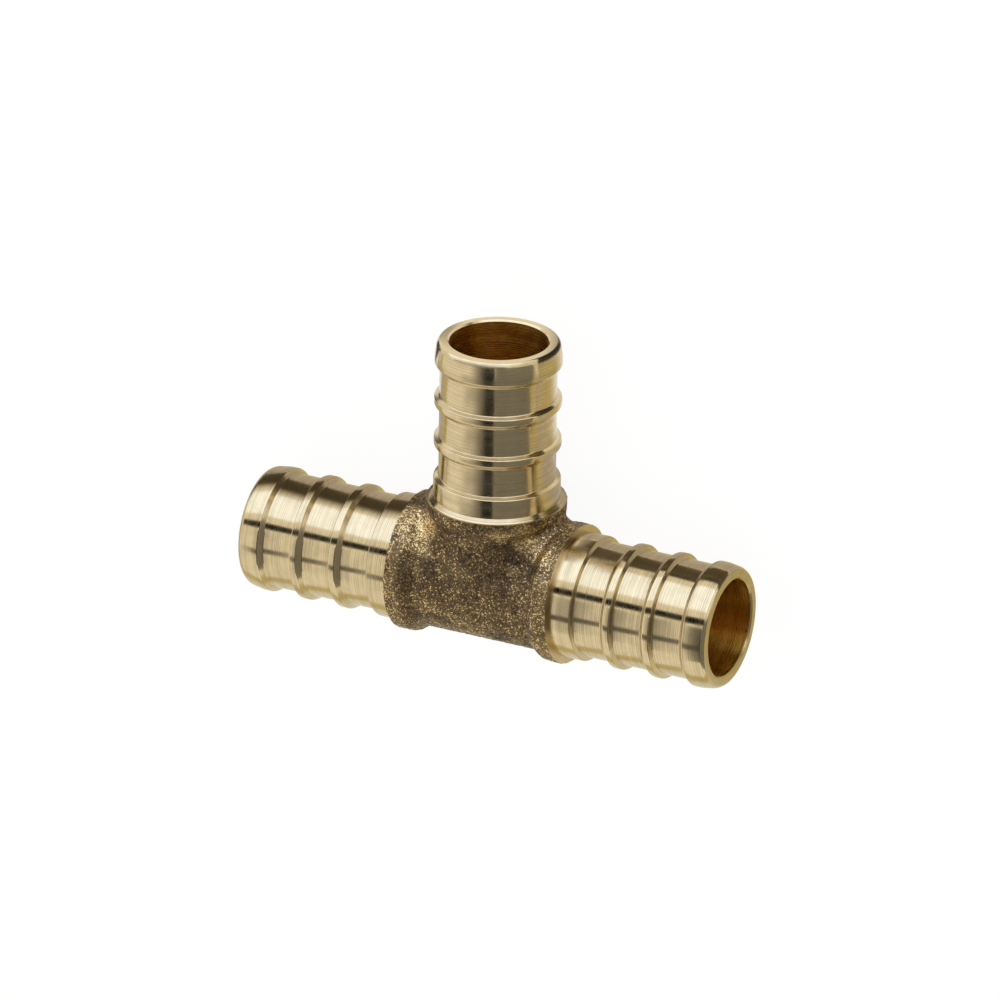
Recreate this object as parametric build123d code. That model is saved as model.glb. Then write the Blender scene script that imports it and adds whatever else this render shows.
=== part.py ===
from build123d import *
from build123d.topology import SkipClean
import os

# Brass tee that joins three plastic water pipes under crimped rings, nominal half inch.
# It is cast in one piece, its three barbed inserts are turned, and its waterways drilled.
#
# Millimetres. The run lies along X and the branch points along +Y. The tee lies on its
# three collars with +Z up, and the origin is the point where the bore axes cross.

# ---- Turned inserts, all three alike: the pipe slides over them ----
insert_length = 16.0  # from the shoulder to the end face
barb_diameter = 11.95  # over the ribs and both lands
groove_depth = 0.475  # of the grooves between them
insert_wall = 0.85  # from a groove to the waterway
mouth_chamfer = 0.15  # breaks the edge where the waterway opens

base_land_length = 2.1  # full-size band against the shoulder
tip_land_length = 2.2  # full-size band at the free end, with its lead-in
rib_count = 2  # between the two lands
rib_crest_width = 0.6
flank_run = 0.42  # length along the axis of each sloping flank
crest_radius = 0.16  # rounds the edges of the ribs
land_radius = 0.12  # rounds the inner edges of the lands

lead_length = 1.5  # gentle taper that guides the pipe over the tip
lead_drop = 0.18  # how far the taper falls below the land, on the radius
nose_length = 0.35  # from the corner of the taper to the end face
nose_drop = 0.24  # further drop from that corner to the flat end face
nose_radius = 0.35

# ---- Cast body ----
barrel_wall = 1.25  # of the waist between the run collars
collar_height = 0.75  # from the waist up to the edge of a run collar
branch_step = 0.05  # the neck and its collar are this much slimmer, on the radius
run_stand_off = 1.85  # from the side of the branch collar to a run shoulder
branch_stand_off = 1.5  # from the side of a run collar to the branch shoulder
saddle_radius = 3.8  # fillet where the neck runs into the barrel
collar_corner_radius = 1.6  # fillet where the branch collar runs into the run collars
run_collar_width = 1.5
branch_collar_width = 1.1
flare_run = 0.95  # length along the axis of the slope from a collar to its core
rim_radius = 0.8  # rounds a collar's inner edge into its flare
foot_radius = 0.8  # rounds the foot of a flare into the waist

# ---- Sizes that follow ----
barb_radius = barb_diameter / 2
groove_radius = barb_radius - groove_depth
bore_radius = groove_radius - insert_wall
tip_land_start = insert_length - tip_land_length
rib_foot_width = rib_crest_width + 2 * flank_run
groove_width = (
    tip_land_start - base_land_length - 2 * flank_run - rib_count * rib_foot_width
) / (rib_count + 1)
rib_pitch = rib_foot_width + groove_width
first_rib = base_land_length + flank_run + groove_width + rib_foot_width / 2
corner_radius = barb_radius - lead_drop
waist_diameter = 2 * (bore_radius + barrel_wall)
neck_diameter = waist_diameter - 2 * branch_step
run_collar_diameter = waist_diameter + 2 * collar_height
branch_collar_diameter = run_collar_diameter - 2 * branch_step
run_shoulder_distance = branch_collar_diameter / 2 + run_stand_off
branch_shoulder_distance = run_collar_diameter / 2 + branch_stand_off
run_half_length = run_shoulder_distance + insert_length
branch_length = branch_shoulder_distance + insert_length
bar_length = 2 * run_collar_diameter  # of the bars that the tee is cut from
flare_overlap = 0.3  # how far the slope of a flare is carried on inside its core

to_right, to_left, to_branch = Rot(0, 90, 0), Rot(0, -90, 0), Rot(-90, 0, 0)


def turned(stations):
    """Solid of revolution about +Z from (height, radius, corner rounding) stations."""
    outline = [(0, stations[0][0])]
    outline += [(radius, height) for height, radius, _ in stations]
    outline += [(0, stations[-1][0])]
    roundings = [rounding for _, _, rounding in stations]
    edges = FilletPolyline(*outline, radius=roundings) + Line(outline[-1], outline[0])
    return revolve(Plane.XZ * make_face(edges), Axis.Z)


def rib(centre):
    """The four corners of one rib: up its flank, over the crest and down again."""
    half_crest = rib_crest_width / 2
    half_foot = half_crest + flank_run
    return [
        (centre - half_foot, groove_radius, 0),
        (centre - half_crest, barb_radius, crest_radius),
        (centre + half_crest, barb_radius, crest_radius),
        (centre + half_foot, groove_radius, 0),
    ]


def insert():
    """One barbed insert on its shoulder at Z = 0, with its free end up."""
    stations = [
        (0, barb_radius, 0),
        (base_land_length, barb_radius, land_radius),
        (base_land_length + flank_run, groove_radius, 0),
    ]
    for number in range(rib_count):
        stations += rib(first_rib + number * rib_pitch)
    stations += [
        (tip_land_start - flank_run, groove_radius, 0),
        (tip_land_start, barb_radius, land_radius),
        (insert_length - lead_length, barb_radius, 0),
        (insert_length - nose_length, corner_radius, nose_radius),
        (insert_length, corner_radius - nose_drop, 0),
    ]
    return turned(stations)


def blank_tee(run_diameter, branch_diameter, corner_radius):
    """Plain tee of two crossing bars, filleted in the corners and faced at the shoulders."""
    from_end = (Align.CENTER, Align.CENTER, Align.MIN)
    run_bar = to_right * Cylinder(run_diameter / 2, 2 * bar_length)
    branch_bar = to_branch * Cylinder(branch_diameter / 2, bar_length, align=from_end)
    crossed = run_bar + branch_bar
    tee = fillet(crossed.edges().filter_by(GeomType.BSPLINE), corner_radius)
    above = (Align.CENTER, Align.MAX, Align.CENTER)
    shoulders = Box(2 * run_shoulder_distance, bar_length, bar_length, align=above)
    return tee & Pos(0, branch_shoulder_distance, 0) * shoulders


def collar(tee, turn, shoulder, width, core_diameter, diameter):
    """The end of the thick tee that stays outside the sloping flare, with its rim rounded."""
    core_radius, radius = core_diameter / 2, diameter / 2
    flare_top = shoulder - width
    slope = flare_run / (radius - core_radius)
    root_radius = core_radius - flare_overlap
    root = flare_top - flare_run - slope * flare_overlap
    reach = 2 * radius
    outer = flare_top + slope * (reach - radius)
    beyond_flare = turned(
        [
            (root, root_radius, 0),
            (outer, reach, 0),
            (outer + shoulder, reach, 0),
        ]
    )
    end = (turn.inverse() * tee) & beyond_flare
    flare_edges = end.faces().filter_by(GeomType.CONE).edges()
    rim = flare_edges.filter_by(
        lambda edge: edge.geom_type != GeomType.LINE
        and Vector((edge @ 0.5).X, (edge @ 0.5).Y).length > core_radius
    )
    return turn * fillet(rim, rim_radius)


def cast_body():
    """Thin tee for the barrel and neck, with the collars taken from a thicker one."""
    body = blank_tee(waist_diameter, neck_diameter, saddle_radius)
    thick = blank_tee(run_collar_diameter, branch_collar_diameter, collar_corner_radius)
    run_sizes = (run_shoulder_distance, run_collar_width, waist_diameter)
    branch_sizes = (branch_shoulder_distance, branch_collar_width, neck_diameter)
    body += collar(thick, to_right, *run_sizes, run_collar_diameter)
    body += collar(thick, to_left, *run_sizes, run_collar_diameter)
    body += collar(thick, to_branch, *branch_sizes, branch_collar_diameter)
    feet = body.edges().filter_by(GeomType.CIRCLE)
    feet = feet.filter_by(lambda edge: abs(edge.radius - waist_diameter / 2) < 0.001)
    return fillet(feet, foot_radius)


def waterway(length):
    """Drill from the origin to an end face, widening into the chamfered mouth."""
    return turned(
        [
            (0, bore_radius, 0),
            (length - mouth_chamfer, bore_radius, 0),
            (length, bore_radius + mouth_chamfer, 0),
        ]
    )


tee_body = cast_body()
for turn, shoulder in [
    (to_right, run_shoulder_distance),
    (to_left, run_shoulder_distance),
    (to_branch, branch_shoulder_distance),
]:
    tee_body += turn * Pos(0, 0, shoulder) * insert()
with SkipClean():  # the run keeps two bores that meet, as they are drilled from both ends
    for turn, length in [
        (to_right, run_half_length),
        (to_left, run_half_length),
        (to_branch, branch_length),
    ]:
        tee_body -= turn * waterway(length)

os.makedirs("parts", exist_ok=True)
export_step(tee_body, "parts/tee_body.step")
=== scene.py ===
import math
from collections import Counter

import bpy
from mathutils import Matrix, Vector


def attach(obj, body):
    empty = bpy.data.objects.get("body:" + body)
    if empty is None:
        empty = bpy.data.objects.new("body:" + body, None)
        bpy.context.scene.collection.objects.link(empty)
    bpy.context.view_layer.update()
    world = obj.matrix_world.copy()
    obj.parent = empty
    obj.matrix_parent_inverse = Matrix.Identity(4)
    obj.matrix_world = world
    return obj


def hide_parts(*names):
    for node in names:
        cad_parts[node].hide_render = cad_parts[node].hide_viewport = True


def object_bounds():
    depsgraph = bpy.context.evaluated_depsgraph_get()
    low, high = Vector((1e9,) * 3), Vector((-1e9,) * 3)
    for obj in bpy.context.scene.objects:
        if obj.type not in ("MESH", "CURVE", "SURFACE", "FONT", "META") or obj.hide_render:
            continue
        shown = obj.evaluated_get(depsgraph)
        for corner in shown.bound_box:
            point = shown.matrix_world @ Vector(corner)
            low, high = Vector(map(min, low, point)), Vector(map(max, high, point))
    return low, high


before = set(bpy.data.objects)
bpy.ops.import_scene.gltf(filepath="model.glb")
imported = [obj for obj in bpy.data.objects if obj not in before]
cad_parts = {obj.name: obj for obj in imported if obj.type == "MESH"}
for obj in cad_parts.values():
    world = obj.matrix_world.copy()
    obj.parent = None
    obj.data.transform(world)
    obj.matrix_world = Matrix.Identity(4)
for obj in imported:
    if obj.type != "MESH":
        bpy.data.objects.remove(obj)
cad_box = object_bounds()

bl_info = {
    "name": "Brass Crimp Tee",
    "version": (1, 0, 0),
    "blender": (4, 5, 0),
    "location": "View3D > Sidebar > Crimp Tee",
    "description": "Cast brass tee with three turned barbed inserts, on a plain pale stage",
    "category": "Add Mesh",
}

MM = 0.001
NODE = "tee_body"


# ---- Settings ----


class TeeInsertSettings(bpy.types.PropertyGroup):
    """Sizes of the three turned inserts, measured from the shoulder."""

    length: bpy.props.FloatProperty(
        name="Length",
        description="From the shoulder to the end face",
        default=16.0 * MM,
        unit="LENGTH",
        precision=5,
    )
    barb_radius: bpy.props.FloatProperty(
        name="Barb radius",
        description="Over the ribs and both lands",
        default=5.975 * MM,
        unit="LENGTH",
        precision=5,
    )
    groove_radius: bpy.props.FloatProperty(
        name="Groove radius",
        description="Between the ribs",
        default=5.5 * MM,
        unit="LENGTH",
        precision=5,
    )
    bore_radius: bpy.props.FloatProperty(
        name="Bore radius",
        description="Of the drilled waterway",
        default=4.65 * MM,
        unit="LENGTH",
        precision=5,
    )
    branch_root: bpy.props.FloatProperty(
        name="Branch root",
        description="How far the cone at the branch shoulder stands out from the insert",
        default=0.4 * MM,
        unit="LENGTH",
        precision=5,
    )
    rounding: bpy.props.FloatProperty(
        name="Edge rounding",
        description="Rounds the edges of the ribs and lands",
        default=0.09 * MM,
        unit="LENGTH",
        precision=5,
    )
    steps: bpy.props.IntProperty(
        name="Steps", description="Faces round each insert", default=320, min=32
    )


class TeeCastingSettings(bpy.types.PropertyGroup):
    """Sizes of the cast body and its grain."""

    run_shoulder: bpy.props.FloatProperty(
        name="Run shoulder",
        description="From the centre to the shoulder of each run insert",
        default=8.45 * MM,
        unit="LENGTH",
        precision=5,
    )
    branch_shoulder: bpy.props.FloatProperty(
        name="Branch shoulder",
        description="From the centre to the shoulder of the branch insert",
        default=8.15 * MM,
        unit="LENGTH",
        precision=5,
    )
    grain_cell: bpy.props.FloatProperty(
        name="Grain cell",
        description="Cell size of the mesh that carries the grain",
        default=0.118 * MM,
        unit="LENGTH",
        precision=6,
    )
    coarse_height: bpy.props.FloatProperty(
        name="Coarse grain height",
        description="Height of the broad unevenness of the casting",
        default=0.09 * MM,
        unit="LENGTH",
        precision=6,
    )
    fine_height: bpy.props.FloatProperty(
        name="Fine grain height",
        description="Height of the sand grain",
        default=0.1 * MM,
        unit="LENGTH",
        precision=6,
    )


class TeeFinishSettings(bpy.types.PropertyGroup):
    """Colours of the finishes."""

    turned: bpy.props.FloatVectorProperty(
        name="Turned brass",
        description="Freshly cut metal of the inserts and shoulders",
        subtype="COLOR",
        size=4,
        min=0.0,
        max=1.0,
        default=(0.665, 0.525, 0.295, 1.0),
    )
    # Brass colour made a deeper amber than the turned metal; the extra amber is painted reflection
    # of light bouncing round inside the waterways.
    bore: bpy.props.FloatVectorProperty(
        name="Drilled brass",
        description="Metal inside the waterways",
        subtype="COLOR",
        size=4,
        min=0.0,
        max=1.0,
        default=(0.8, 0.47, 0.07, 1.0),
    )
    skin_light: bpy.props.FloatVectorProperty(
        name="Casting, light",
        description="Raised grains of the cast skin",
        subtype="COLOR",
        size=4,
        min=0.0,
        max=1.0,
        default=(0.27, 0.18, 0.085, 1.0),
    )
    skin_sparkle: bpy.props.FloatVectorProperty(
        name="Casting, bare grains",
        description="Bare metal of the grains that stand out",
        subtype="COLOR",
        size=4,
        min=0.0,
        max=1.0,
        default=(0.86, 0.61, 0.26, 1.0),
    )
    skin_dark: bpy.props.FloatVectorProperty(
        name="Casting, dark",
        description="Pits of the cast skin",
        subtype="COLOR",
        size=4,
        min=0.0,
        max=1.0,
        default=(0.05, 0.033, 0.018, 1.0),
    )


class TeeStageSettings(bpy.types.PropertyGroup):
    """Camera and floor."""

    camera_place: bpy.props.FloatVectorProperty(
        name="Camera place",
        description="Where the camera stands",
        subtype="TRANSLATION",
        unit="LENGTH",
        size=3,
        default=(0.39989, 0.40909, 0.80283),
    )
    lens: bpy.props.FloatProperty(
        name="Lens", description="Focal length in millimetres", default=378.0
    )
    floor: bpy.props.FloatVectorProperty(
        name="Floor",
        description="Colour of the floor",
        subtype="COLOR",
        size=4,
        min=0.0,
        max=1.0,
        default=(1.0, 1.0, 1.0, 1.0),
    )


# ---- Modelling helpers ----


def deselect():
    """Leaves nothing selected and no object in edit mode."""
    if bpy.context.object and bpy.context.object.mode != "OBJECT":
        bpy.ops.object.mode_set(mode="OBJECT")
    bpy.ops.object.select_all(action="DESELECT")


def activate(obj):
    """Makes one object the only selected and the active one."""
    deselect()
    obj.select_set(True)
    bpy.context.view_layer.objects.active = obj


def select_verts(obj, test):
    """In edit mode, selects the vertices whose place passes the test."""
    bpy.ops.mesh.select_mode(type="VERT")
    bpy.ops.mesh.select_all(action="DESELECT")
    bpy.ops.object.mode_set(mode="OBJECT")
    for v in obj.data.vertices:
        v.select = test(v.co)
    bpy.ops.object.mode_set(mode="EDIT")


def apply_modifier(obj, name, kind, **values):
    """Adds one modifier, sets it and applies it."""
    activate(obj)
    modifier = obj.modifiers.new(name, kind)
    for key, value in values.items():
        setattr(modifier, key, value)
    bpy.ops.object.modifier_apply(modifier=modifier.name)


def check_closed(obj):
    """Stops the script if the piece has an open edge, or one that joins more than two faces."""
    uses = Counter(key for face in obj.data.polygons for key in face.edge_keys)
    if any(count != 2 for count in uses.values()):
        raise RuntimeError(obj.name + " is not a closed shape")


def finish_piece(obj, materials):
    """Checks that a finished piece is closed, gives it its materials and its body, and hides the
    frame's solid.
    """
    check_closed(obj)
    obj.data.materials.clear()
    for material in materials:
        obj.data.materials.append(material)
    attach(obj, "root")
    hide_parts(NODE)


# ---- Materials ----


def node(tree, kind, x, y, **values):
    """Adds a node at a place in the tree and sets the fields given."""
    made = tree.nodes.new(kind)
    made.location = (x, y)
    for key, value in values.items():
        setattr(made, key, value)
    return made


def maths(tree, x, y, operation, *terms):
    """Output of a Math node; each term is a number or an output to link."""
    made = node(tree, "ShaderNodeMath", x, y, operation=operation)
    for term, slot in zip(terms, made.inputs):
        if isinstance(term, bpy.types.NodeSocket):
            tree.links.new(term, slot)
        else:
            slot.default_value = term
    return made.outputs[0]


def smooth_range(tree, x, y, value, low, high, top=1.0):
    """Output that rises smoothly from 0 to top while the value goes from low to high."""
    made = node(tree, "ShaderNodeMapRange", x, y, interpolation_type="SMOOTHSTEP")
    made.inputs["From Min"].default_value = low
    made.inputs["From Max"].default_value = high
    made.inputs["To Max"].default_value = top
    tree.links.new(value, made.inputs["Value"])
    return made.outputs["Result"]


def noise(tree, x, y, scale, detail, roughness=0.5, dimensions="3D"):
    """Noise texture; the caller links its place."""
    made = node(tree, "ShaderNodeTexNoise", x, y, noise_dimensions=dimensions)
    made.inputs["Scale"].default_value = scale
    made.inputs["Detail"].default_value = detail
    made.inputs["Roughness"].default_value = roughness
    return made


def new_group(name, inputs, outputs):
    """Empty shader node group with named sockets."""
    group = bpy.data.node_groups.new(name, "ShaderNodeTree")
    for label, kind, default in inputs:
        socket = group.interface.new_socket(name=label, in_out="INPUT", socket_type=kind)
        if default is not None:
            socket.default_value = default
    for label, kind in outputs:
        group.interface.new_socket(name=label, in_out="OUTPUT", socket_type=kind)
    start = group.nodes.new("NodeGroupInput")
    start.location = (-900, 0)
    end = group.nodes.new("NodeGroupOutput")
    end.location = (700, 0)
    return group, start, end


def tool_marks_group():
    """Rings left by the cutting tool: a height, and a shade that has patches in it too."""
    group, start, end = new_group(
        "tool_marks",
        [
            ("Along", "NodeSocketFloat", 0.0),
            ("Place", "NodeSocketVector", None),
            ("Fine", "NodeSocketFloat", 12000.0),
            ("Broad", "NodeSocketFloat", 1500.0),
        ],
        [("Height", "NodeSocketFloat"), ("Shade", "NodeSocketFloat")],
    )
    link = group.links.new
    along = start.outputs["Along"]
    fine = noise(group, -500, 200, scale=1.0, detail=2.0, dimensions="1D")
    link(maths(group, -700, 200, "MULTIPLY", along, start.outputs["Fine"]), fine.inputs["W"])
    broad = noise(group, -500, -100, scale=1.0, detail=3.0, dimensions="1D")
    link(maths(group, -700, -100, "MULTIPLY", along, start.outputs["Broad"]), broad.inputs["W"])
    patches = noise(group, -500, -400, scale=900.0, detail=4.0)
    link(start.outputs["Place"], patches.inputs["Vector"])
    height = maths(group, 200, 200, "ADD", fine.outputs["Fac"], broad.outputs["Fac"])
    # Shade: half fine rings, a quarter broad rings, a quarter patches of dulled metal.
    shade = maths(group, -350, -150, "MULTIPLY", broad.outputs["Fac"], 0.25)
    shade = maths(group, -200, -300, "MULTIPLY_ADD", patches.outputs["Fac"], 0.25, shade)
    shade = maths(group, 0, -200, "MULTIPLY_ADD", fine.outputs["Fac"], 0.5, shade)
    link(height, end.inputs["Height"])
    link(shade, end.inputs["Shade"])
    return group


# Shades of the tool marks at which the metal is dullest and brightest, and what the colour
# and the roughness are multiplied by there.
MARK_SHADES = (0.38, 0.62)
MARK_COLOURS = (0.8, 1.1)
MARK_ROUGHNESS = (1.3, 0.7)

# Cut surfaces: name, colour in the settings, axis of the rings, roughness, depth of the marks
# and whether the marks draw the highlights out into streaks.
CUTS = (
    ("turned_run", "turned", "X", 0.2, 0.0019 * MM, True),
    ("turned_branch", "turned", "Y", 0.2, 0.0019 * MM, True),
    ("faced_run", "turned", "X", 0.3, 0.0, False),
    ("faced_branch", "turned", "Y", 0.3, 0.0, False),
    ("bore_run", "bore", "X", 0.3, 0.002 * MM, True),
    ("bore_branch", "bore", "Y", 0.24, 0.0015 * MM, True),
)


def turned_material(name, colour, marks, axis, roughness, depth, streaked):
    """Brass cut on the lathe: fine rings round the given axis."""
    material = bpy.data.materials.new(name)
    material.use_nodes = True
    tree = material.node_tree
    link = tree.links.new
    shader = tree.nodes["Principled BSDF"]
    shader.inputs["Metallic"].default_value = 1.0
    shader.inputs["Anisotropic"].default_value = 0.9 if streaked else 0.0
    place = node(tree, "ShaderNodeTexCoord", -1200, 0)
    split = node(tree, "ShaderNodeSeparateXYZ", -1000, 0)
    link(place.outputs["Object"], split.inputs[0])
    rings = node(tree, "ShaderNodeGroup", -750, 0)
    rings.node_tree = marks
    link(split.outputs[axis], rings.inputs["Along"])
    link(place.outputs["Object"], rings.inputs["Place"])
    ramp = node(tree, "ShaderNodeValToRGB", -450, 200)
    for stop, shade, factor in zip(ramp.color_ramp.elements, MARK_SHADES, MARK_COLOURS):
        stop.position = shade
        stop.color = [min(1.0, c * factor) for c in colour[:3]] + [1.0]
    link(rings.outputs["Shade"], ramp.inputs["Fac"])
    link(ramp.outputs["Color"], shader.inputs["Base Color"])
    rough = node(tree, "ShaderNodeMapRange", -450, -50)
    rough.inputs["From Min"].default_value = MARK_SHADES[0]
    rough.inputs["From Max"].default_value = MARK_SHADES[1]
    rough.inputs["To Min"].default_value = roughness * MARK_ROUGHNESS[0]
    rough.inputs["To Max"].default_value = roughness * MARK_ROUGHNESS[1]
    link(rings.outputs["Shade"], rough.inputs["Value"])
    link(rough.outputs["Result"], shader.inputs["Roughness"])
    relief = node(tree, "ShaderNodeBump", -250, -300)
    relief.inputs["Strength"].default_value = 1.0
    relief.inputs["Distance"].default_value = depth
    link(rings.outputs["Height"], relief.inputs["Height"])
    link(relief.outputs["Normal"], shader.inputs["Normal"])
    if streaked:
        tangent = node(tree, "ShaderNodeCombineXYZ", -250, -550)
        tangent.inputs[axis].default_value = 1.0
        link(tangent.outputs[0], shader.inputs["Tangent"])
    return material


def casting_grain_group():
    """Height, tone and sparkle of the sand grain, finer than the mesh carries."""
    group, start, end = new_group(
        "casting_grain",
        [
            ("Place", "NodeSocketVector", None),
            ("Relief", "NodeSocketFloat", 0.0),
            ("Wear", "NodeSocketFloat", 0.0),
        ],
        [
            ("Height", "NodeSocketFloat"),
            ("Tone", "NodeSocketFloat"),
            ("Sparkle", "NodeSocketFloat"),
        ],
    )
    link = group.links.new
    grain = noise(group, -600, 300, scale=5600.0, detail=2.0, roughness=0.7)
    patch = noise(group, -600, 50, scale=380.0, detail=5.0, roughness=0.65)
    facets = node(group, "ShaderNodeTexVoronoi", -600, -250)
    facets.inputs["Scale"].default_value = 8600.0
    for texture in (grain, patch, facets):
        link(start.outputs["Place"], texture.inputs["Vector"])
    # Tone: patches and grain in about equal shares, lighter with wear and with the painted
    # highlights (darker with the painted shade), and on high ground.
    tone = maths(group, -450, 0, "MULTIPLY", patch.outputs["Fac"], 0.45)
    tone = maths(group, -300, 200, "MULTIPLY_ADD", grain.outputs["Fac"], 0.55, tone)
    tone = maths(group, -250, 100, "MULTIPLY_ADD", start.outputs["Wear"], 0.13, tone)
    tone = maths(group, -100, 200, "MULTIPLY_ADD", start.outputs["Relief"], 0.3, tone)
    # Each facet of a grain has its own chance of being bare, higher where the tone is light.
    facet = node(group, "ShaderNodeSeparateColor", -400, -250)
    link(facets.outputs["Color"], facet.inputs[0])
    bare = maths(group, -300, -400, "MULTIPLY", facet.outputs["Red"], 0.55)
    bare = maths(group, -200, -250, "MULTIPLY_ADD", tone, 0.6, bare)
    height = maths(
        group, 100, 350, "MULTIPLY_ADD", facet.outputs["Green"], 0.5, grain.outputs["Fac"]
    )
    link(height, end.inputs["Height"])
    link(tone, end.inputs["Tone"])
    link(smooth_range(group, 0, -250, bare, 0.73, 0.88), end.inputs["Sparkle"])
    return group


# Spots of painted light on the casting in mm: centre, reach, amount (painted highlight above zero,
# painted shade below).
PAINTED_LIGHT_SPOTS = (
    ((-6.2, 4.7, 4.2), 2.1, 2.4),
    ((-5.4, 5.9, 3.4), 1.9, 2.5),
    ((-7.6, 5.9, 3.0), 1.6, 1.8),
    ((-5.0, 3.6, 5.5), 1.3, 2.2),
    ((3.4, 6.6, 5.8), 1.4, 2.6),
    ((5.0, 6.6, 4.4), 1.9, 3.2),
    ((6.6, 5.6, 4.2), 1.8, 2.4),
    ((4.2, 3.9, 5.9), 1.5, 2.2),
    ((1.2, 6.6, 6.3), 2.2, 0.2),
    ((4.6, 2.5, 5.8), 2.4, -0.1),
    ((0.0, -4.9, 3.6), 2.4, 0.5),
)
# Wear of the run's collars, and the distances from the centre between which it sets in.
COLLAR_WEAR = 0.7
COLLAR_REACH = (5.8 * MM, 7.6 * MM)
# Tones at which the scale is darkest and lightest, and the roughness of scale and bare metal.
SCALE_TONES = (0.36, 0.66)
SKIN_ROUGHNESS = (0.5, 0.22)


def casting_material(settings, grain):
    """Cast skin: dull brown scale with grains of bare metal that catch the light."""
    material = bpy.data.materials.new("cast_skin")
    material.use_nodes = True
    tree = material.node_tree
    link = tree.links.new
    shader = tree.nodes["Principled BSDF"]
    shader.inputs["Metallic"].default_value = 0.9
    place = node(tree, "ShaderNodeTexCoord", -1400, 0)
    relief = node(tree, "ShaderNodeAttribute", -1400, -300, attribute_name="grain")
    skin = node(tree, "ShaderNodeGroup", -1100, 0)
    skin.node_tree = grain
    link(place.outputs["Object"], skin.inputs["Place"])
    link(relief.outputs["Fac"], skin.inputs["Relief"])
    split = node(tree, "ShaderNodeSeparateXYZ", -1400, 300)
    link(place.outputs["Object"], split.inputs[0])
    reach = maths(tree, -1250, 300, "ABSOLUTE", split.outputs["X"])
    wear_and_painted_light = smooth_range(tree, -1250, 150, reach, *COLLAR_REACH, top=COLLAR_WEAR)
    # Painted highlights and painted shade at the listed spots are added to the collar wear.
    for row, (centre, radius, amount) in enumerate(PAINTED_LIGHT_SPOTS, start=1):
        away = node(tree, "ShaderNodeVectorMath", -1700, 450 * row, operation="DISTANCE")
        away.inputs[1].default_value = [c * MM for c in centre]
        link(place.outputs["Object"], away.inputs[0])
        painted_light_spot = smooth_range(
            tree, -1500, 450 * row, away.outputs["Value"], radius * MM, radius * MM / 3, top=amount
        )
        wear_and_painted_light = maths(tree, -1250, 450 * row, "ADD", wear_and_painted_light, painted_light_spot)
    link(wear_and_painted_light, skin.inputs["Wear"])
    scale = node(tree, "ShaderNodeValToRGB", -800, 250)
    colours = (settings.skin_dark, settings.skin_light)
    for stop, tone, colour in zip(scale.color_ramp.elements, SCALE_TONES, colours):
        stop.position = tone
        stop.color = colour
    link(skin.outputs["Tone"], scale.inputs["Fac"])
    grains = node(tree, "ShaderNodeMix", -450, 200, data_type="RGBA")
    link(skin.outputs["Sparkle"], grains.inputs["Factor"])
    link(scale.outputs["Color"], grains.inputs["A"])
    grains.inputs["B"].default_value = settings.skin_sparkle
    link(grains.outputs["Result"], shader.inputs["Base Color"])
    rough = node(tree, "ShaderNodeMapRange", -450, -50)
    rough.inputs["To Min"].default_value = SKIN_ROUGHNESS[0]
    rough.inputs["To Max"].default_value = SKIN_ROUGHNESS[1]
    link(skin.outputs["Sparkle"], rough.inputs["Value"])
    link(rough.outputs["Result"], shader.inputs["Roughness"])
    bump = node(tree, "ShaderNodeBump", -450, -300)
    bump.inputs["Distance"].default_value = 0.05 * MM
    link(skin.outputs["Height"], bump.inputs["Height"])
    link(bump.outputs["Normal"], shader.inputs["Normal"])
    return material


# ---- Turned inserts ----


# Section of an insert, along its axis from the shoulder.
BASE_LAND_END = 2.2 * MM
RIB_CENTRES = (5.9 * MM, 10.0 * MM)
CREST_BACK, CREST_FRONT = 0.3 * MM, 0.36 * MM
BACK_FLANK, FRONT_FLANK = 0.42 * MM, 0.18 * MM
TIP_LAND_START, LEAD_START = 13.8 * MM, 14.5 * MM
NOSE_LENGTH = 0.35 * MM
LEAD_DROP, NOSE_DROP = 0.18 * MM, 0.42 * MM
MOUTH_CHAMFER = 0.15 * MM
NOSE_ROUNDING = 0.13 * MM
ROOT_CONE = 0.9


def insert_outline(settings, root):
    """(along, radius) corners of one insert's section, from its bore at the shoulder outwards."""
    barb, groove, bore = settings.barb_radius, settings.groove_radius, settings.bore_radius
    end = settings.length
    outline = [(0.0, bore), (0.0, barb + root)]
    if root > 0:
        outline.append((ROOT_CONE * root, barb))
    outline += [(BASE_LAND_END, barb), (BASE_LAND_END + FRONT_FLANK, groove)]
    for centre in RIB_CENTRES:
        outline += [
            (centre - CREST_BACK - BACK_FLANK, groove),
            (centre - CREST_BACK, barb),
            (centre + CREST_FRONT, barb),
            (centre + CREST_FRONT + FRONT_FLANK, groove),
        ]
    outline += [
        (TIP_LAND_START - BACK_FLANK, groove),
        (TIP_LAND_START, barb),
        (LEAD_START, barb),
        (end - NOSE_LENGTH, barb - LEAD_DROP),
        (end, barb - NOSE_DROP),
        (end, bore + MOUTH_CHAMFER),
        (end - MOUTH_CHAMFER, bore),
    ]
    return outline


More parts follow.
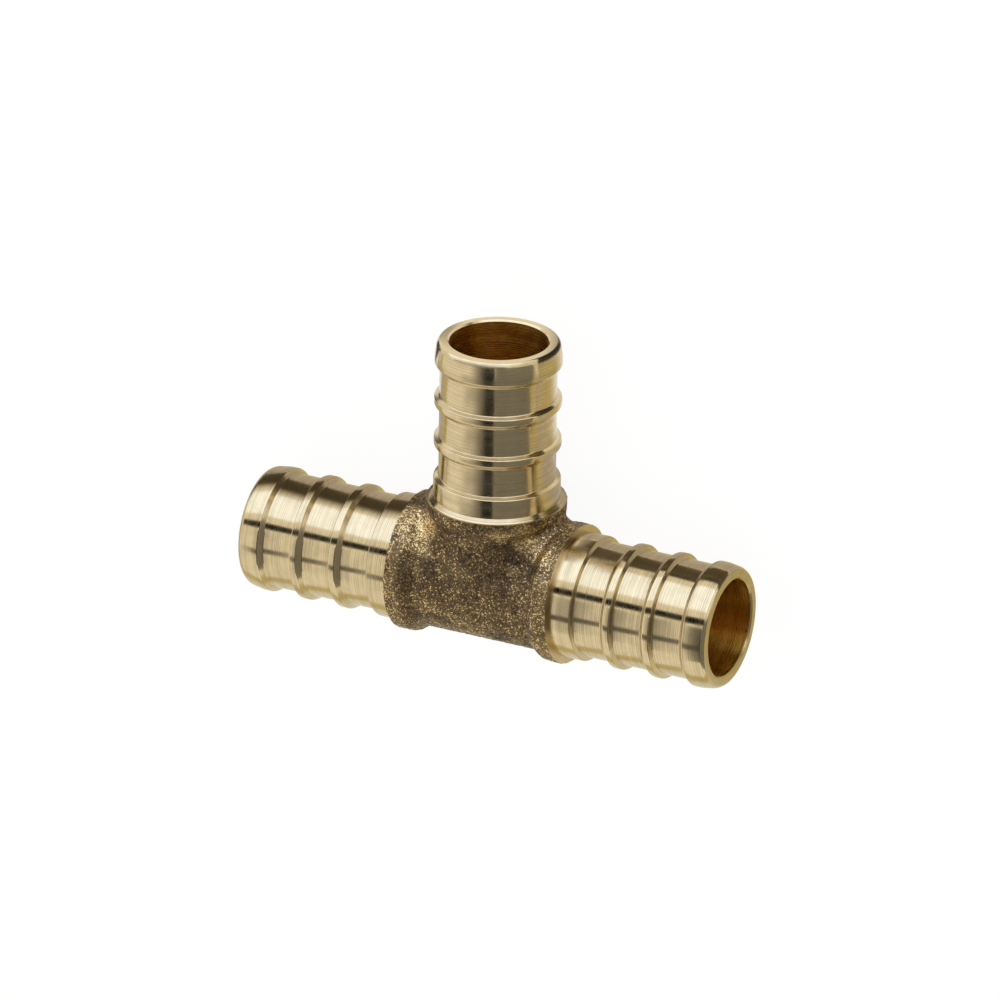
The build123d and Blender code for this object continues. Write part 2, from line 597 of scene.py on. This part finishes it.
def model_insert(settings, shoulder, root):
    """Draws half the section beside the X axis, rounds its corners and spins it."""
    corners = insert_outline(settings, root)
    outline = [Vector((shoulder + along, 0.0, radius)) for along, radius in corners]
    deselect()
    bpy.ops.mesh.primitive_plane_add(size=MM, location=outline[0])
    piece = bpy.context.object
    bpy.ops.object.transform_apply(location=True, rotation=True, scale=True)
    bpy.ops.object.mode_set(mode="EDIT")
    bpy.ops.mesh.select_all(action="SELECT")
    bpy.ops.mesh.merge(type="CENTER")
    for here, there in zip(outline, outline[1:]):
        bpy.ops.mesh.extrude_vertices_move(
            TRANSFORM_OT_translate={"value": tuple(there - here)}
        )
    bpy.ops.mesh.select_all(action="SELECT")
    bpy.ops.mesh.remove_doubles(threshold=MM / 1000)
    ends = (outline[0], outline[-1])
    select_verts(piece, lambda co: min((co - e).length for e in ends) < MM / 1000)
    bpy.ops.mesh.edge_face_add()
    first, last = shoulder + BASE_LAND_END / 2, shoulder + (TIP_LAND_START + LEAD_START) / 2
    levels = (settings.barb_radius, settings.groove_radius)
    select_verts(
        piece,
        lambda co: first < co.x < last and min(abs(co.z - r) for r in levels) < MM / 100,
    )
    bpy.ops.mesh.bevel(
        offset=settings.rounding, segments=4, affect="VERTICES", offset_type="OFFSET"
    )
    nose = shoulder + settings.length - 1.5 * NOSE_LENGTH
    wall = (settings.barb_radius + settings.bore_radius) / 2
    select_verts(piece, lambda co: co.x > nose and co.z > wall)
    bpy.ops.mesh.bevel(offset=NOSE_ROUNDING, segments=4, affect="VERTICES", offset_type="OFFSET")
    bpy.ops.mesh.select_all(action="SELECT")
    bpy.ops.mesh.spin(
        steps=settings.steps, angle=2 * math.pi, center=(0, 0, 0), axis=(1, 0, 0)
    )
    bpy.ops.mesh.select_all(action="SELECT")
    bpy.ops.mesh.remove_doubles(threshold=MM / 1000)
    bpy.ops.mesh.normals_make_consistent(inside=False)
    bpy.ops.object.mode_set(mode="OBJECT")
    return piece


def turned_copy(piece, name, turn):
    """Own copy of the insert, turned about Z in its mesh."""
    copy = piece.copy()
    copy.data = piece.data.copy()
    copy.name = copy.data.name = name
    bpy.context.scene.collection.objects.link(copy)
    copy.data.transform(Matrix.Rotation(turn, 4, "Z"))
    return copy


# ---- Cast body ----


# How far the cut for the bore clears its wall, and the stock left on the shoulders.
BORE_CLEARANCE = 0.2 * MM
STOCK = 0.5 * MM


def casting_blank(casting, insert):
    """Solid casting blank: a merged copy of the frame's solid without its inserts and bores."""
    deselect()
    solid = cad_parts[NODE]
    blank = solid.copy()
    blank.data = solid.data.copy()
    blank.name = blank.data.name = "cast_body"
    blank.parent = None
    for key in list(blank.keys()):
        del blank[key]
    bpy.context.scene.collection.objects.link(blank)
    blank.hide_viewport = blank.hide_render = False
    blank.hide_set(False)
    activate(blank)
    bpy.ops.object.mode_set(mode="EDIT")
    bpy.ops.mesh.select_all(action="SELECT")
    bpy.ops.mesh.remove_doubles(threshold=MM / 1000)
    run, branch, slack = casting.run_shoulder, casting.branch_shoulder, MM / 500
    bore = insert.bore_radius + BORE_CLEARANCE

    def not_cast(co):
        beyond = abs(co.x) > run + slack or co.y > branch + slack
        in_run = math.hypot(co.y, co.z) < bore
        in_branch = math.hypot(co.x, co.z) < bore and co.y > 0
        return beyond or in_run or in_branch

    select_verts(blank, not_cast)
    bpy.ops.mesh.delete(type="VERT")
    bpy.ops.mesh.select_all(action="SELECT")
    bpy.ops.mesh.delete_loose()
    bpy.ops.mesh.select_all(action="SELECT")
    bpy.ops.mesh.fill_holes(sides=0)
    for axis, sign, shoulder in ((0, 1, run), (0, -1, run), (1, 1, branch)):
        select_verts(blank, lambda co: abs(co[axis] * sign - shoulder) < slack)
        step = [0.0, 0.0, 0.0]
        step[axis] = sign * STOCK
        bpy.ops.mesh.extrude_region_move(TRANSFORM_OT_translate={"value": step})
    bpy.ops.mesh.select_all(action="SELECT")
    bpy.ops.mesh.normals_make_consistent(inside=False)
    bpy.ops.object.mode_set(mode="OBJECT")
    return blank


def grain_texture(name, size, depth):
    """Procedural clouds that push the skin in and out."""
    texture = bpy.data.textures.new(name, "CLOUDS")
    texture.noise_scale = size
    texture.noise_depth = depth
    return texture


def roughen(body, casting):
    """Remeshes the blank, softens it and pushes the grain of the sand mould into it."""
    apply_modifier(body, "cells", "REMESH", mode="VOXEL", voxel_size=casting.grain_cell)
    apply_modifier(body, "soften", "SMOOTH", factor=0.5, iterations=8)
    count = len(body.data.vertices)
    before = [0.0] * (3 * count)
    normals = [0.0] * (3 * count)
    body.data.vertices.foreach_get("co", before)
    body.data.vertices.foreach_get("normal", normals)
    for name, size, depth, height in (
        ("coarse_grain", 1.1 * MM, 2, casting.coarse_height),
        ("fine_grain", 0.34 * MM, 1, casting.fine_height),
    ):
        apply_modifier(
            body,
            name,
            "DISPLACE",
            texture=grain_texture(name, size, depth),
            texture_coords="LOCAL",
            strength=height,
            mid_level=0.5,
        )
    after = [0.0] * (3 * count)
    body.data.vertices.foreach_get("co", after)
    relief = body.data.attributes.new("grain", "FLOAT", "POINT")
    full = casting.coarse_height + casting.fine_height
    values = [
        sum((after[3 * i + k] - before[3 * i + k]) * normals[3 * i + k] for k in range(3)) / full
        for i in range(count)
    ]
    relief.data.foreach_set("value", values)


def face_shoulders(body, casting):
    """Cuts the casting flat where the lathe faced its shoulders."""
    activate(body)
    bpy.ops.object.mode_set(mode="EDIT")
    for place in (
        (casting.run_shoulder, 0, 0),
        (-casting.run_shoulder, 0, 0),
        (0, casting.branch_shoulder, 0),
    ):
        bpy.ops.mesh.select_all(action="SELECT")
        bpy.ops.mesh.bisect(
            plane_co=place,
            plane_no=Vector(place).normalized(),
            use_fill=True,
            clear_outer=True,
            threshold=MM / 10000,
        )
    bpy.ops.object.mode_set(mode="OBJECT")


def drill(body, length, turn, radius):
    """Bores the waterway out of the body with a drill along X turned about Z."""
    deselect()
    bpy.ops.mesh.primitive_cylinder_add(
        vertices=192, radius=radius, depth=length, rotation=(0, math.pi / 2, 0)
    )
    cutter = bpy.context.object
    bpy.ops.object.transform_apply(location=True, rotation=True, scale=True)
    if turn:
        cutter.data.transform(
            Matrix.Rotation(turn, 4, "Z") @ Matrix.Translation((length / 2, 0, 0))
        )
    apply_modifier(body, "drill", "BOOLEAN", operation="DIFFERENCE", object=cutter, solver="EXACT")
    bpy.data.objects.remove(cutter)


def assign_finishes(body, casting, insert):
    """Cast skin 0, run shoulders 1, branch shoulder 2, run bore 3, branch bore 4."""
    bore = insert.bore_radius + MM / 50
    for face in body.data.polygons:
        co, normal = face.center, face.normal
        from_run = math.hypot(co.y, co.z)
        from_branch = math.hypot(co.x, co.z)
        if abs(normal.x) > 0.999 and abs(abs(co.x) - casting.run_shoulder) < MM / 100:
            face.material_index = 1
        elif normal.y > 0.999 and abs(co.y - casting.branch_shoulder) < MM / 100:
            face.material_index = 2
        elif from_run < bore:
            face.material_index = 3
        elif from_branch < bore and co.y > 0:
            face.material_index = 4
        else:
            face.material_index = 0
        face.use_smooth = True


# ---- Stage ----


WHITE = (1.0, 1.0, 1.0, 1.0)
COOL = (0.66, 0.755, 1.0, 1.0)
CREAM = (1.0, 1.0, 0.9, 1.0)
GREY = (1.0, 0.93, 0.88, 1.0)
GOLD = (1.0, 0.9, 0.52, 1.0)
BROWN = (1.0, 0.85, 0.6, 1.0)
UP, DOWN, FORWARD = (0, 0, 1), (0, 0, -1), (0, -1, 0)
RIGHT, SIDEWAYS = (1, 0, 0), (0, 1, 0)
SOFT, NARROW = (0.06, 0.04, 0.08, 0.1), (0.1, 0.1, 0.1, 0.1)
TOP_FADE = (0.02, 0.02, 0.0, 0.3)
FLOOR = -6.55 * MM
ABOVE = FLOOR + MM / 100

# Panels: name, centre, direction they face, direction of the width, width, height, shares
# that fade out (start and end of the width, start and end of the height), colour, radiance.
# The low cards lie just clear of the floor, some of them above the others.
PANELS = (
    ("back_light", (-0.2, 0.29, 0.118), (0, -1, -0.3), RIGHT, 0.95, 0.31, SOFT, COOL, 2.22),
    (
        "top_back_screen", (-0.12, 0.128, 0.265), DOWN, (1, 0.02, 0), 0.7, 0.086,
        (0, 0, 0.2, 0.2), WHITE, 0.0,
    ),
    (
        "top_screen", (-0.17, -0.124, 0.265), DOWN, (1, 0.1, 0), 0.32, 0.078,
        (0.6, 0.1, 0.3, 0.3), WHITE, 0.12,
    ),
    (
        "right_screen", (0.21, -0.09, 0.135), (-0.72, 0.2, -0.5), SIDEWAYS, 0.4, 0.4,
        (0, 0, 0.06, 0.05), WHITE, 0.23,
    ),
    (
        "top_right_screen", (-0.025, -0.13, 0.29), DOWN, RIGHT, 0.27, 0.44,
        (0.7, 0.02, 0.05, 0.05), WHITE, 0.02,
    ),
    ("front_card", (0, -0.29, 0.01), (0, 1, 0), RIGHT, 0.9, 0.04, (0, 0, 0.4, 0), GOLD, 0.66),
    ("low_card", (0, -0.147, FLOOR), UP, RIGHT, 0.6, 0.306, (0.1, 0.1, 0.02, 0.0), GOLD, 0.64),
    ("low_middle_card", (0, 0.009, ABOVE), UP, RIGHT, 0.11, 0.008, NARROW, GREY, 0.55),
    ("low_front_card", (0, -0.028, ABOVE), UP, RIGHT, 0.12, 0.04, NARROW, CREAM, 0.82),
    (
        # low_back_left and low_back_right are dark sheets on the floor behind the run, seen only
        # in reflections: painted shadow of the floor there.
        "low_back_left", (-0.0352, 0.0215, FLOOR), UP, RIGHT, 0.0415, 0.013,
        (0.1, 0.08, 0.1, 0.15), WHITE, 0.04,
    ),
    (
        "low_back_right", (0.02775, 0.032, FLOOR), UP, RIGHT, 0.0545, 0.019,
        (0.1, 0.1, 0.05, 0.15), WHITE, 0.04,
    ),
    (
        "low_end_card", (-0.0108, 0.0268, FLOOR), UP, RIGHT, 0.0085, 0.0065,
        (0.2, 0.3, 0.2, 0.4), CREAM, 0.42,
    ),
    ("low_right_card", (0.0325, 0.01625, ABOVE), UP, RIGHT, 0.055, 0.0125, NARROW, GOLD, 0.62),
    (
        "right_back_strip", (0.0267, 0.0108, -0.0032), FORWARD, RIGHT, 0.04, 0.0088,
        TOP_FADE, BROWN, 0.1,
    ),
    (
        "left_back_strip", (-0.0267, 0.0108, -0.0025), FORWARD, RIGHT, 0.04, 0.0102,
        TOP_FADE, BROWN, 0.08,
    ),
)


# Grey that the floor shows to the light, its glow for the eye and in reflections, and the
# strength of the world as a light.
FLOOR_GREY = 0.14
FLOOR_GLOW = 0.93
WORLD_LIGHT = 0.6


def white_rays(tree, x, y):
    """Highest of Is Camera, Is Glossy and Is Transmission Ray."""
    rays = node(tree, "ShaderNodeLightPath", x, y).outputs
    seen = maths(tree, x + 200, y, "MAXIMUM", rays["Is Camera Ray"], rays["Is Glossy Ray"])
    return maths(tree, x + 400, y, "MAXIMUM", seen, rays["Is Transmission Ray"])


def make_floor(settings):
    """Plain pale floor under the collars, white to the eye and in reflections."""
    deselect()
    bpy.ops.mesh.primitive_plane_add(size=6.0, location=(0, 0, cad_box[0].z))
    floor = bpy.context.object
    floor.name = "floor"
    bpy.ops.object.transform_apply(location=True, rotation=True, scale=True)
    material = bpy.data.materials.new("pale_floor")
    material.use_nodes = True
    tree = material.node_tree
    shader = tree.nodes["Principled BSDF"]
    shader.inputs["Base Color"].default_value = (FLOOR_GREY, FLOOR_GREY, FLOOR_GREY, 1.0)
    shader.inputs["Roughness"].default_value = 1.0
    shader.inputs["Specular IOR Level"].default_value = 0.0
    shader.inputs["Emission Color"].default_value = settings.floor
    glow = maths(tree, -300, -200, "MULTIPLY", white_rays(tree, -900, -200), FLOOR_GLOW)
    tree.links.new(glow, shader.inputs["Emission Strength"])
    floor.data.materials.append(material)


def make_world():
    """Even white surroundings."""
    world = bpy.data.worlds.new("white_room")
    world.use_nodes = True
    tree = world.node_tree
    shader = tree.nodes["Background"]
    strength = node(tree, "ShaderNodeMapRange", -300, 0)
    strength.inputs["To Min"].default_value = WORLD_LIGHT
    strength.inputs["To Max"].default_value = 1.0
    tree.links.new(white_rays(tree, -900, 0), strength.inputs["Value"])
    tree.links.new(strength.outputs["Result"], shader.inputs["Strength"])
    shader.inputs["Color"].default_value = WHITE
    bpy.context.scene.world = world


def panel_material(name, fades, colour, radiance):
    """Glows or stays dark on its front, fades out at its borders and is clear from behind."""
    material = bpy.data.materials.new(name)
    material.use_nodes = True
    tree = material.node_tree
    link = tree.links.new
    tree.nodes.remove(tree.nodes["Principled BSDF"])
    end = tree.nodes["Material Output"]
    place = node(tree, "ShaderNodeTexCoord", -1200, 0)
    split = node(tree, "ShaderNodeSeparateXYZ", -1000, 0)
    link(place.outputs["UV"], split.inputs[0])
    side = node(tree, "ShaderNodeNewGeometry", -400, -300)
    shown = maths(tree, -200, -300, "SUBTRACT", 1.0, side.outputs["Backfacing"])
    for border, fade in enumerate(fades):
        if fade == 0:
            continue
        across, far_end = "XY"[border // 2], border % 2
        clear_of_border = 1.0 - fade if far_end else fade
        soft = smooth_range(
            tree, -400, 200 * border, split.outputs[across], float(far_end), clear_of_border
        )
        shown = maths(tree, -200, 200 * border, "MULTIPLY", soft, shown)
    clear = node(tree, "ShaderNodeBsdfTransparent", 0, -300)
    glow = node(tree, "ShaderNodeEmission", 0, -450)
    glow.inputs["Color"].default_value = colour
    glow.inputs["Strength"].default_value = radiance
    mix = node(tree, "ShaderNodeMixShader", 250, 0)
    link(shown, mix.inputs["Fac"])
    link(clear.outputs[0], mix.inputs[1])
    link(glow.outputs[0], mix.inputs[2])
    link(mix.outputs[0], end.inputs["Surface"])
    return material


def make_panel(name, centre, facing, along, width, height, *finish):
    """Flat panel: a light where its radiance is high, a dark screen where it is low."""
    deselect()
    facing = Vector(facing).normalized()
    across = Vector(along) - facing * facing.dot(Vector(along))
    across.normalize()
    turn = Matrix((across, facing.cross(across), facing)).transposed().to_4x4()
    bpy.ops.mesh.primitive_plane_add(size=1.0, location=(0, 0, 0))
    panel = bpy.context.object
    panel.name = name
    scale = Matrix.Diagonal((width, height, 1.0, 1.0))
    panel.data.transform(Matrix.Translation(centre) @ turn @ scale)
    panel.data.materials.append(panel_material(name, *finish))
    panel.visible_camera = False
    panel.visible_diffuse = False
    panel.visible_shadow = False


# Axes of the camera: to its right, up, and back from the tee towards the lens.
CAMERA_AXES = (
    (0.89252661, 0.01323474, -0.4508005),
    (-0.19491169, 0.91271776, -0.35910405),
    (0.40670098, 0.40837621, 0.8172045),
)


def make_camera(settings):
    """Looks down on the face of the tee from its branch side."""
    lens = bpy.data.cameras.new("camera")
    camera = bpy.data.objects.new("camera", lens)
    bpy.context.scene.collection.objects.link(camera)
    place = Matrix(CAMERA_AXES).transposed().to_4x4()
    place.translation = settings.camera_place
    camera.matrix_world = place
    lens.lens = settings.lens
    lens.sensor_width = 36.0
    lens.clip_start, lens.clip_end = 0.05, 20.0
    bpy.context.scene.camera = camera


# ---- Operators ----


class TEE_OT_finishes(bpy.types.Operator):
    """Makes the materials of the tee"""

    bl_idname = "tee.finishes"
    bl_label = "Finishes"

    def execute(self, context):
        settings = context.scene.tee_finish
        marks = tool_marks_group()
        grain = casting_grain_group()
        for name, colour, *cut in CUTS:
            turned_material(name, getattr(settings, colour), marks, *cut)
        casting_material(settings, grain)
        return {"FINISHED"}


class TEE_OT_inserts(bpy.types.Operator):
    """Models the turned inserts of the three outlets"""

    bl_idname = "tee.inserts"
    bl_label = "Turned Inserts"

    def execute(self, context):
        insert, casting = context.scene.tee_insert, context.scene.tee_casting
        piece = model_insert(insert, casting.run_shoulder, 0.0)
        piece.name = piece.data.name = "insert_right"
        left = turned_copy(piece, "insert_left", math.pi)
        branch = model_insert(insert, casting.branch_shoulder, insert.branch_root)
        branch.name = branch.data.name = "insert_branch"
        branch.data.transform(Matrix.Rotation(math.pi / 2, 4, "Z"))
        bore = insert.bore_radius + MM / 50
        for obj, pipe, axis in ((piece, "run", 0), (left, "run", 0), (branch, "branch", 1)):
            finishes = [bpy.data.materials[cut + pipe] for cut in ("turned_", "bore_", "faced_")]
            finish_piece(obj, finishes)
            for face in obj.data.polygons:
                inside = math.hypot(face.center[1 - axis], face.center.z) < bore
                across = abs(face.normal[axis]) > 0.97
                face.material_index = 1 if inside else 2 if across else 0
            activate(obj)
            bpy.ops.object.shade_smooth_by_angle(angle=math.radians(28))
        return {"FINISHED"}


class TEE_OT_cast_body(bpy.types.Operator):
    """Models the cast body with its sand grain, faced shoulders and drilled waterways"""

    bl_idname = "tee.cast_body"
    bl_label = "Cast Body"

    def execute(self, context):
        insert, casting = context.scene.tee_insert, context.scene.tee_casting
        body = casting_blank(casting, insert)
        roughen(body, casting)
        face_shoulders(body, casting)
        drill(body, 4 * casting.run_shoulder, 0.0, insert.bore_radius)
        drill(body, 2 * casting.branch_shoulder, math.pi / 2, insert.bore_radius)
        names = ("cast_skin", "faced_run", "faced_branch", "bore_run", "bore_branch")
        finish_piece(body, [bpy.data.materials[name] for name in names])
        assign_finishes(body, casting, insert)
        activate(body)
        bpy.ops.object.shade_smooth_by_angle(angle=math.radians(50))
        return {"FINISHED"}


class TEE_OT_stage(bpy.types.Operator):
    """Sets up the floor, the light panels, the dark screens, the world and the camera"""

    bl_idname = "tee.stage"
    bl_label = "Stage"

    def execute(self, context):
        settings = context.scene.tee_stage
        make_floor(settings)
        make_world()
        for panel in PANELS:
            make_panel(*panel)
        make_camera(settings)
        context.scene.view_settings.view_transform = "Standard"
        return {"FINISHED"}


# ---- Sidebar, registration and run ----


class TEE_PT_sidebar(bpy.types.Panel):
    """Lists the steps and their settings"""

    bl_idname = "TEE_PT_sidebar"
    bl_label = "Crimp Tee"
    bl_space_type = "VIEW_3D"
    bl_region_type = "UI"
    bl_category = "Crimp Tee"

    def draw(self, context):
        layout, scene = self.layout, context.scene
        for group, operator, names in (
            (
                scene.tee_finish,
                "tee.finishes",
                ("turned", "bore", "skin_light", "skin_sparkle", "skin_dark"),
            ),
            (
                scene.tee_insert,
                "tee.inserts",
                (
                    "length",
                    "barb_radius",
                    "groove_radius",
                    "bore_radius",
                    "branch_root",
                    "rounding",
                    "steps",
                ),
            ),
            (
                scene.tee_casting,
                "tee.cast_body",
                ("run_shoulder", "branch_shoulder", "grain_cell", "coarse_height", "fine_height"),
            ),
            (scene.tee_stage, "tee.stage", ("camera_place", "lens", "floor")),
        ):
            box = layout.box()
            for name in names:
                box.prop(group, name)
            box.operator(operator)


CLASSES = (
    TeeInsertSettings,
    TeeCastingSettings,
    TeeFinishSettings,
    TeeStageSettings,
    TEE_OT_finishes,
    TEE_OT_inserts,
    TEE_OT_cast_body,
    TEE_OT_stage,
    TEE_PT_sidebar,
)


def register():
    for cls in CLASSES:
        bpy.utils.register_class(cls)
    bpy.types.Scene.tee_insert = bpy.props.PointerProperty(type=TeeInsertSettings)
    bpy.types.Scene.tee_casting = bpy.props.PointerProperty(type=TeeCastingSettings)
    bpy.types.Scene.tee_finish = bpy.props.PointerProperty(type=TeeFinishSettings)
    bpy.types.Scene.tee_stage = bpy.props.PointerProperty(type=TeeStageSettings)


def unregister():
    del bpy.types.Scene.tee_stage
    del bpy.types.Scene.tee_finish
    del bpy.types.Scene.tee_casting
    del bpy.types.Scene.tee_insert
    for cls in reversed(CLASSES):
        bpy.utils.unregister_class(cls)


def main():
    """Builds the tee and its stage."""
    register()
    bpy.ops.tee.finishes()
    bpy.ops.tee.inserts()
    bpy.ops.tee.cast_body()
    bpy.ops.tee.stage()


if __name__ == "__main__":
    main()
